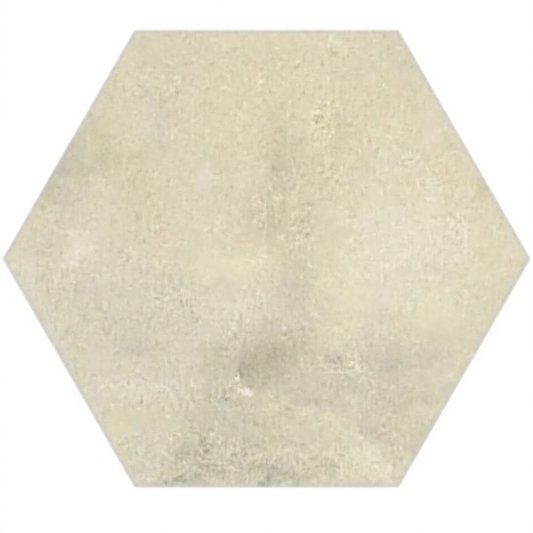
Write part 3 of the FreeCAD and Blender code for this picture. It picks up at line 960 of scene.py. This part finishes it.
# Where the grain is rougher, or smoother for a strength below zero; the tint isn't used
ROUGH_PARTS = [
    Cloud("bottom strip", -18, -127, 60, 17, 0, None, 0.95),
    Cloud("bottom strip, left part", -42, -112, 14, 9, 0, None, 0.60),
    Cloud("bottom strip, right part", 46, -124, 10, 12, 0, None, 0.80),
    Cloud("bottom right corner", 78, -124, 9, 12, 0, None, 0.80),
    Cloud("low left edge", -81, -117, 9, 9, 0, None, 0.50),
    Cloud("low left", -56, -84, 12, 9, 0, None, 0.70),
    Cloud("lower left", -79, -78, 12, 12, 0, None, 0.50),
    Cloud("below the stain", -26, -88, 14, 10, 0, None, 0.90),
    Cloud("left of the stain", -20, -46, 10, 12, 0, None, 0.90),
    Cloud("above the stain", 17, -48, 10, 9, 0, None, 0.60),
    Cloud("middle", -6, -25, 10, 9, 0, None, 0.50),
    Cloud("middle left", -52, -30, 16, 14, 0, None, 0.80),
    Cloud("upper middle left", -66, -16, 11, 9, 0, None, 0.70),
    Cloud("left", -83, -2, 12, 9, 0, None, 0.40),
    Cloud("far left", -127, -10, 12, 12, 0, None, 0.60),
    Cloud("left part", -95, -42, 14, 12, 0, None, 0.35),
    Cloud("lower left edge", -129, -34, 8, 10, 0, None, 0.40),
    Cloud("lower right", 50, -66, 17, 9, 0, None, 1.30),
    Cloud("low right", 67, -85, 12, 8, 0, None, 0.60),
    Cloud("by the pale arc", 30, -96, 9, 7, 0, None, 0.40),
    Cloud("low right part", 77, -103, 8, 8, 0, None, 0.60),
    Cloud("right of the band", 37, 88, 9, 15, 0, None, 1.20),
    Cloud("in the band", 14, 48, 8, 12, 0, None, 0.80),
    Cloud("left of the band", 2, 28, 10, 11, 0, None, 0.90),
    Cloud("foot of the band", 24, 17, 9, 11, 0, None, 1.10),
    Cloud("upper left", -56, 104, 10, 11, 0, None, 0.70),
    Cloud("upper left edge", -81, 109, 8, 7, 0, None, 0.50),
    Cloud("lower upper left", -60, 80, 9, 9, 0, None, 0.40),
    Cloud("top", -6, 111, 9, 9, 0, None, 0.55),
    Cloud("top, right part", 25, 116, 9, 10, 0, None, 0.55),
    Cloud("top right", 44, 131, 8, 9, 0, None, 0.70),
    Cloud("upper right", 70, 104, 9, 8, 0, None, 0.40),
    Cloud("middle of the upper half", -23, 86, 9, 9, 0, None, 0.40),
    Cloud("right part", 87, 60, 10, 9, 0, None, 0.45),
    Cloud("right of the band, low", 40, 52, 12, 12, 0, None, 0.60),
    Cloud("far right, upper part", 108, 47, 12, 10, 0, None, 0.45),
    Cloud("right", 118, 17, 9, 10, 0, None, 1.00),
    Cloud("middle right", 63, -2, 8, 10, 0, None, 0.45),
    Cloud("in the lavender", 88, 4, 10, 9, 0, None, 0.35),
    Cloud("lavender tail", 87, -28, 5, 12, 0, None, 0.45),
    Cloud("left of the band, middle", -66, 21, 8, 9, 0, None, 0.60),
    Cloud("left edge", -129, 30, 9, 8, 0, None, 0.30),
    Cloud("smooth middle", -24, -9, 14, 12, 0, None, -0.75),
    Cloud("smooth middle, left part", -40, 4, 10, 8, 0, None, -0.60),
    Cloud("smooth middle, right part", -9, 10, 7, 7, 0, None, -0.50),
    Cloud("smooth right of the band", 38, 10, 11, 15, 0, None, -0.50),
    Cloud("smooth right", 58, -27, 20, 9, 0, None, -0.75),
    Cloud("smooth lower right edge", 114, -42, 12, 14, 60, None, -0.75),
    Cloud("smooth, by the lavender", 100, -38, 12, 9, 0, None, -0.55),
    Cloud("smooth patch left of the band", -39, 48, 8, 14, 0, None, -0.60),
    Cloud("smooth patch, upper left", -34, 84, 7, 8, 0, None, -0.60),
    Cloud("smooth patch, left", -68, 66, 12, 8, 0, None, -0.50),
    Cloud("smooth top edge", 0, 135, 34, 7, 0, None, -0.45),
    Cloud("smooth top left", -70, 133, 14, 8, 0, None, -0.50),
    Cloud("smooth lower left edge", -80, -101, 20, 7, 0, None, -0.70),
    Cloud("smooth, low", 30, -111, 12, 9, 0, None, -0.50),
    Cloud("smooth, low right edge", 106, -72, 12, 14, -20, None, -0.60),
    Cloud("smooth top right edge", 80, 114, 8, 12, 30, None, -0.55),
    Cloud("smooth right edge", 102, 84, 9, 22, 30, None, -0.70),
    Cloud("smooth, far right", 133, 48, 7, 10, 30, None, -0.50),
    Cloud("smooth left edge", -98, 83, 12, 10, 60, None, -0.65),
    Cloud("smooth left edge, lower part", -116, 58, 9, 9, 60, None, -0.50),
    Cloud("smooth, left", -99, 18, 10, 9, 0, None, -0.60),
    Cloud("smooth, lower left", -100, -60, 14, 9, -60, None, -0.50),
    Cloud("smooth right corner", 144, 6, 9, 10, 0, None, -0.75),
    Cloud("smooth, right of the lavender", 132, -10, 9, 9, 0, None, -0.40),
    Cloud("smooth, above the lavender", 72, 32, 16, 7, -20, None, -0.45),
]


class FinishMaker(TreeMaker):
    """Adds the nodes of the tile's finish. Places are in millimetres on the tile."""

    def __init__(self, tree, sizes, colours, finish):
        super().__init__(tree)
        self.sizes = sizes
        self.colours = colours
        self.finish = finish
        coordinates = self.read("ShaderNodeTexCoord", output="Object")
        self.place = self.scaled(coordinates, 1 / MM)

    def tint(self, name):
        return (*getattr(self.colours, name), 1.0)

    def noise(self, place, feature, detail=2.0, roughness=0.5, output=None, dimensions="2D"):
        """Noise with features of about that many millimetres, by default the same all the way down."""
        return self.read(
            "ShaderNodeTexNoise", place, 1 / feature, detail, roughness,
            output=output, noise_dimensions=dimensions,
        )

    def swayed(self, place, feature, reach):
        """The place pushed about by soft noise, up to about half the reach each way."""
        noise = self.noise(place, feature, detail=1.0, output="Color")
        push = self.scaled(self.vector("SUBTRACT", noise, (0.5, 0.5, 0.5)), reach)
        return self.vector("ADD", place, push)

    def stretched(self, place, x, y):
        """The place shrunk along an axis, so that a noise's features grow long along it."""
        return self.vector("MULTIPLY", place, (x, y, 1.0))

    def dots(self, place, spacing, radius):
        """Round dots about that far apart, each with its own strength between -1 and 1."""
        node = self.node("ShaderNodeTexVoronoi", place, 1 / spacing, voronoi_dimensions="2D")
        distance = Reading(self, node.outputs["Distance"])
        tone = self.parts(Reading(self, node.outputs["Color"]))[0] * 2 - 1
        return self.ramp(distance, radius / spacing, 0.3 * radius / spacing) * tone

    def cloud_share(self, cloud, place, edge=CLOUD_EDGE, strength=1.0):
        """The cloud's strength at a place: full in its middle, and soft to nothing outside it."""
        node = self.node("ShaderNodeTexGradient", place, gradient_type="SPHERICAL")
        ellipse = node.texture_mapping
        ellipse.vector_type = "TEXTURE"
        ellipse.translation = (cloud.x, cloud.y, 0.0)
        ellipse.rotation = (0.0, 0.0, math.radians(cloud.turn))
        ellipse.scale = (cloud.half_x * CLOUD_REACH, cloud.half_y * CLOUD_REACH, ALL_HEIGHTS)
        return self.ramp(Reading(self, node.outputs["Fac"]), *edge, 0.0, cloud.strength * strength)

    def lay(self, ground, clouds, place, edge=CLOUD_EDGE, strength=1.0):
        """The ground's colour with each cloud laid over it in turn."""
        for cloud in clouds:
            ground = self.blend(self.cloud_share(cloud, place, edge, strength), ground, self.tint(cloud.tint))
        return ground


def grain(make):
    """The fine grain of the face, about 0 on average: light and dark specks and strokes, rougher in parts."""
    place = make.place
    specks = make.noise(place, SPECK_MM, detail=1.0) - 0.5
    upright = make.noise(make.stretched(place, 1.0, STROKE_SQUEEZE), STROKE_MM, detail=1.0) - 0.5
    level = make.noise(make.stretched(place, STROKE_SQUEEZE, 1.0), STROKE_MM, detail=1.0) - 0.5
    which = make.ramp(make.noise(place, feature=11.0, detail=1.0), start=0.50, stop=0.58)
    strokes = make.pick(which, upright, level)
    dots = make.dots(place, DOT_SPACING_MM, DOT_RADIUS_MM)

    patchy = make.noise(place, feature=7.0, roughness=0.6)
    rough = make.ramp(patchy, start=0.38, stop=0.64, low=0.25, high=1.20)
    swayed = make.swayed(place, feature=7.0, reach=7.0)
    for part in ROUGH_PARTS:
        rough = rough + make.cloud_share(part, swayed, strength=ROUGH_PART_STRENGTH)
    rough = make.math("MAXIMUM", rough, LEAST_ROUGHNESS)
    return (specks * SPECKS + strokes * STROKES + dots * DOTS) * rough


def face_colour(make):
    """The cement look: clouds and stains on the ground colour, soft mottling, grain, flecks and pits."""
    finish = make.finish
    swayed = make.swayed(make.place, feature=15.0, reach=12.0)
    swayed = make.swayed(swayed, feature=5.0, reach=8.0)
    tone = make.lay(make.tint("ground"), CLOUDS, swayed, CLOUD_EDGE, finish.clouds)

    mottle = make.noise(make.place, feature=12.0, detail=1.0, output="Color")
    mottle = make.scaled(make.vector("SUBTRACT", mottle, (0.5, 0.5, 0.5)), COLOUR_MOTTLE * finish.mottle)
    tone = make.vector("MULTIPLY", tone, make.vector("ADD", mottle, (1.0, 1.0, 1.0)))
    shade = make.noise(make.place, feature=6.5, roughness=0.7) - 0.5
    lighter = shade * (SHADE_MOTTLE * finish.mottle) + grain(make) * finish.grain
    tone = make.vector("ADD", tone, make.scaled(GRAIN_STEP, lighter))
    return make.lay(tone, FLECKS, make.swayed(make.place, feature=2.0, reach=3.0), FLECK_EDGE)


def side_inset(make):
    """How far a place lies inside the nearest of the tile's six straight sides."""
    x, y, _ = make.parts(make.place)
    furthest = make.math("ABSOLUTE", y)
    for facing in (HALF_TURN, -HALF_TURN):
        out = make.math("ABSOLUTE", x * math.cos(facing) + y * math.sin(facing))
        furthest = make.math("MAXIMUM", furthest, out)
    return make.sizes.across_flats / 2 / MM - furthest


def with_rim(make, face):
    """The face with its cooler border, painted shade in a thin line inside the rim, and a painted highlight
    on the rim.
    """
    inset = side_inset(make)
    broken = make.noise(make.place, feature=5.0, roughness=0.6)
    wavering = inset + broken * RIM_WAVER - RIM_WAVER / 2
    face = make.blend(make.ramp(wavering, *BAND_FADE, 0.0, BAND_SHARE), face, make.tint("rim_band"))
    # A thin line of painted shade just inside the rim
    line = make.ramp(wavering, *PAINTED_SHADE_START) * make.ramp(wavering, *PAINTED_SHADE_STOP)
    face = make.blend(line * broken * PAINTED_SHADE_SHARE, face, make.tint("rim_line"))
    # A painted highlight that makes the rounded rim paler
    return make.blend(make.ramp(inset, *PAINTED_HIGHLIGHT_RAMP, 0.0, PAINTED_HIGHLIGHT_STRENGTH), face, make.tint("rim_light"))


def body_colour(make, height, sand):
    """Unglazed stoneware: a plain fired body with dark specks, and white kiln wash on the back's ribs."""
    place = make.place
    cloudy = make.noise(place, feature=18.0, detail=3.0, roughness=0.6, dimensions="3D") - 0.5
    tone = make.scaled(make.tint("body"), 1 + cloudy * BODY_CLOUDS + sand * BODY_SAND)
    from_speck = make.read("ShaderNodeTexVoronoi", place, 1 / BODY_SPECK_SPACING_MM, output="Distance")
    is_speck = make.ramp(from_speck, start=0.16, stop=0.08)
    tone = make.blend(is_speck * BODY_SPECKS, tone, make.tint("body_speck"))
    on_ribs = make.ramp(height, *RIB_FADE)
    patchy = make.noise(place, feature=6.0, detail=3.0, roughness=0.7)
    powder = make.ramp(patchy, start=0.38, stop=0.62, low=0.15, high=0.85)
    return make.blend(on_ribs * powder, tone, make.tint("kiln_wash"))


def stoneware_material(sizes, colours, finish):
    """The tile's one material: cement-look face, painted shade and highlight on the rim, and the bare body
    below it.
    """
    material = bpy.data.materials.new(MATERIAL_SLOT)
    material.use_nodes = True
    make = FinishMaker(material.node_tree, sizes, colours, finish)
    shader = next(node for node in material.node_tree.nodes if node.type == "BSDF_PRINCIPLED")

    height = make.parts(make.place)[2]
    sand = make.noise(make.place, feature=0.9, roughness=0.7, dimensions="3D") - 0.5
    face = with_rim(make, face_colour(make))
    body = body_colour(make, height, sand)
    uneven = make.noise(make.place, feature=4.0, roughness=0.7, dimensions="3D")
    glazed = make.ramp(height + uneven * GLAZE_RAGGEDNESS, *GLAZE_FADE)
    tone = make.blend(glazed, body, face)

    swell = make.noise(make.place, feature=3.0, roughness=0.6, dimensions="3D") - 0.5
    roughness = make.pick(glazed, BODY_ROUGHNESS, finish.roughness - swell * GLOSS_SWING)
    bump = make.read("ShaderNodeBump", 1.0, finish.bump, None, sand + swell * SWELL_BUMP)
    make.feed(shader.inputs["Base Color"], tone)
    make.feed(shader.inputs["Roughness"], roughness)
    make.feed(shader.inputs["Normal"], bump)
    shader.inputs["Specular IOR Level"].default_value = SPECULAR_LEVEL
    return material


class TILE_OT_fired_tile(bpy.types.Operator):
    """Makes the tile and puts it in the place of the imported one"""

    bl_idname = "tile.fired_tile"
    bl_label = "Fired tile"

    def execute(self, context):
        scene = context.scene
        material = stoneware_material(scene.tile_sizes, scene.tile_colours, scene.tile_finish)
        values = shape_values(scene.tile_sizes, material)
        tile = plain_object(TILE_PIECE, tile_shape_tree(values), values)
        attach(tile, "root")
        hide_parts(TILE_NODE)
        return {"FINISHED"}


def white_to_camera(maker):
    """1 for what the camera sees directly, in a reflection or through glass, 0 for light on its way."""
    paths = maker.node("ShaderNodeLightPath")
    seen = Reading(maker, paths.outputs["Is Camera Ray"])
    for name in ("Is Glossy Ray", "Is Transmission Ray"):
        seen = maker.math("MAXIMUM", seen, Reading(maker, paths.outputs[name]))
    return seen


def add_floor(stage):
    """A wide white floor that keeps a trace of the tile's shadow."""
    half = stage.floor_size / 2
    corners = [(-half, -half, 0.0), (half, -half, 0.0), (half, half, 0.0), (-half, half, 0.0)]
    mesh = bpy.data.meshes.new("floor")
    mesh.from_pydata(corners, [], [(0, 1, 2, 3)])
    floor = bpy.data.objects.new("floor", mesh)
    bpy.context.scene.collection.objects.link(floor)

    material = bpy.data.materials.new("white_floor")
    material.use_nodes = True
    maker = TreeMaker(material.node_tree)
    material.node_tree.nodes.clear()
    matt = maker.read("ShaderNodeBsdfDiffuse", (1.0, 1.0, 1.0, 1.0))
    white = maker.read("ShaderNodeEmission", (1.0, 1.0, 1.0, 1.0), 1.0)
    share = white_to_camera(maker) * (1 - stage.floor_shadow)
    shader = maker.read("ShaderNodeMixShader", share, matt, white)
    maker.node("ShaderNodeOutputMaterial", shader)
    mesh.materials.append(material)


def add_light(stage):
    """Even light from all round, and a soft sun. Together they show a level surface in its written colour."""
    world = bpy.data.worlds.new("studio")
    bpy.context.scene.world = world
    world.use_nodes = True
    maker = TreeMaker(world.node_tree)
    world.node_tree.nodes.clear()
    even = maker.read("ShaderNodeBackground", (1.0, 1.0, 1.0, 1.0), stage.sky)
    white = maker.read("ShaderNodeBackground", (1.0, 1.0, 1.0, 1.0), 1.0)
    shader = maker.read("ShaderNodeMixShader", white_to_camera(maker), even, white)
    maker.node("ShaderNodeOutputWorld", shader)

    sun = bpy.data.lights.new("soft_sun", "SUN")
    sun.energy = (1 - stage.sky) * math.pi / math.cos(stage.sun_tilt)
    sun.angle = stage.sun_softness
    lamp = bpy.data.objects.new("soft_sun", sun)
    lamp.rotation_euler = (0.0, stage.sun_tilt, stage.sun_from)
    bpy.context.scene.collection.objects.link(lamp)


def add_camera(stage):
    """The camera above the tile, looking straight down.

    It stands a little in front of the middle, so that the tile sits high in the picture.
    """
    camera = bpy.data.cameras.new("camera")
    camera.lens = stage.lens
    holder = bpy.data.objects.new("camera", camera)
    holder.location = (0.0, -stage.camera_back, stage.camera_height)
    bpy.context.scene.collection.objects.link(holder)
    bpy.context.scene.camera = holder


class TILE_OT_stage(bpy.types.Operator):
    """Sets the floor, the light and the camera, and the plain view transform"""

    bl_idname = "tile.stage"
    bl_label = "Stage"

    def execute(self, context):
        stage = context.scene.tile_stage
        add_floor(stage)
        add_light(stage)
        add_camera(stage)
        context.scene.view_settings.view_transform = "Standard"
        return {"FINISHED"}


class TILE_PT_panel(bpy.types.Panel):
    """The tile's operators, sizes and colours."""

    bl_idname = "TILE_PT_panel"
    bl_label = "Hexagon floor tile"
    bl_space_type = "VIEW_3D"
    bl_region_type = "UI"
    bl_category = "Tile"

    def draw(self, context):
        for operator in OPERATORS:
            self.layout.operator(operator.bl_idname)
        for name in SETTINGS:
            box = self.layout.box()
            settings = getattr(context.scene, name)
            for prop in settings.bl_rna.properties:
                if not prop.is_readonly and prop.identifier != "name":
                    box.prop(settings, prop.identifier)


SETTINGS = {
    "tile_sizes": TileSizes,
    "tile_colours": TileColours,
    "tile_finish": TileFinish,
    "tile_stage": TileStage,
}
OPERATORS = (TILE_OT_fired_tile, TILE_OT_stage)
CLASSES = (*SETTINGS.values(), *OPERATORS, TILE_PT_panel)


def register():
    for each in CLASSES:
        bpy.utils.register_class(each)
    for name, settings in SETTINGS.items():
        setattr(bpy.types.Scene, name, bpy.props.PointerProperty(type=settings))


def unregister():
    for name in SETTINGS:
        delattr(bpy.types.Scene, name)
    for each in reversed(CLASSES):
        bpy.utils.unregister_class(each)


def main():
    register()
    bpy.ops.tile.fired_tile()
    bpy.ops.tile.stage()


if __name__ == "__main__":
    main()
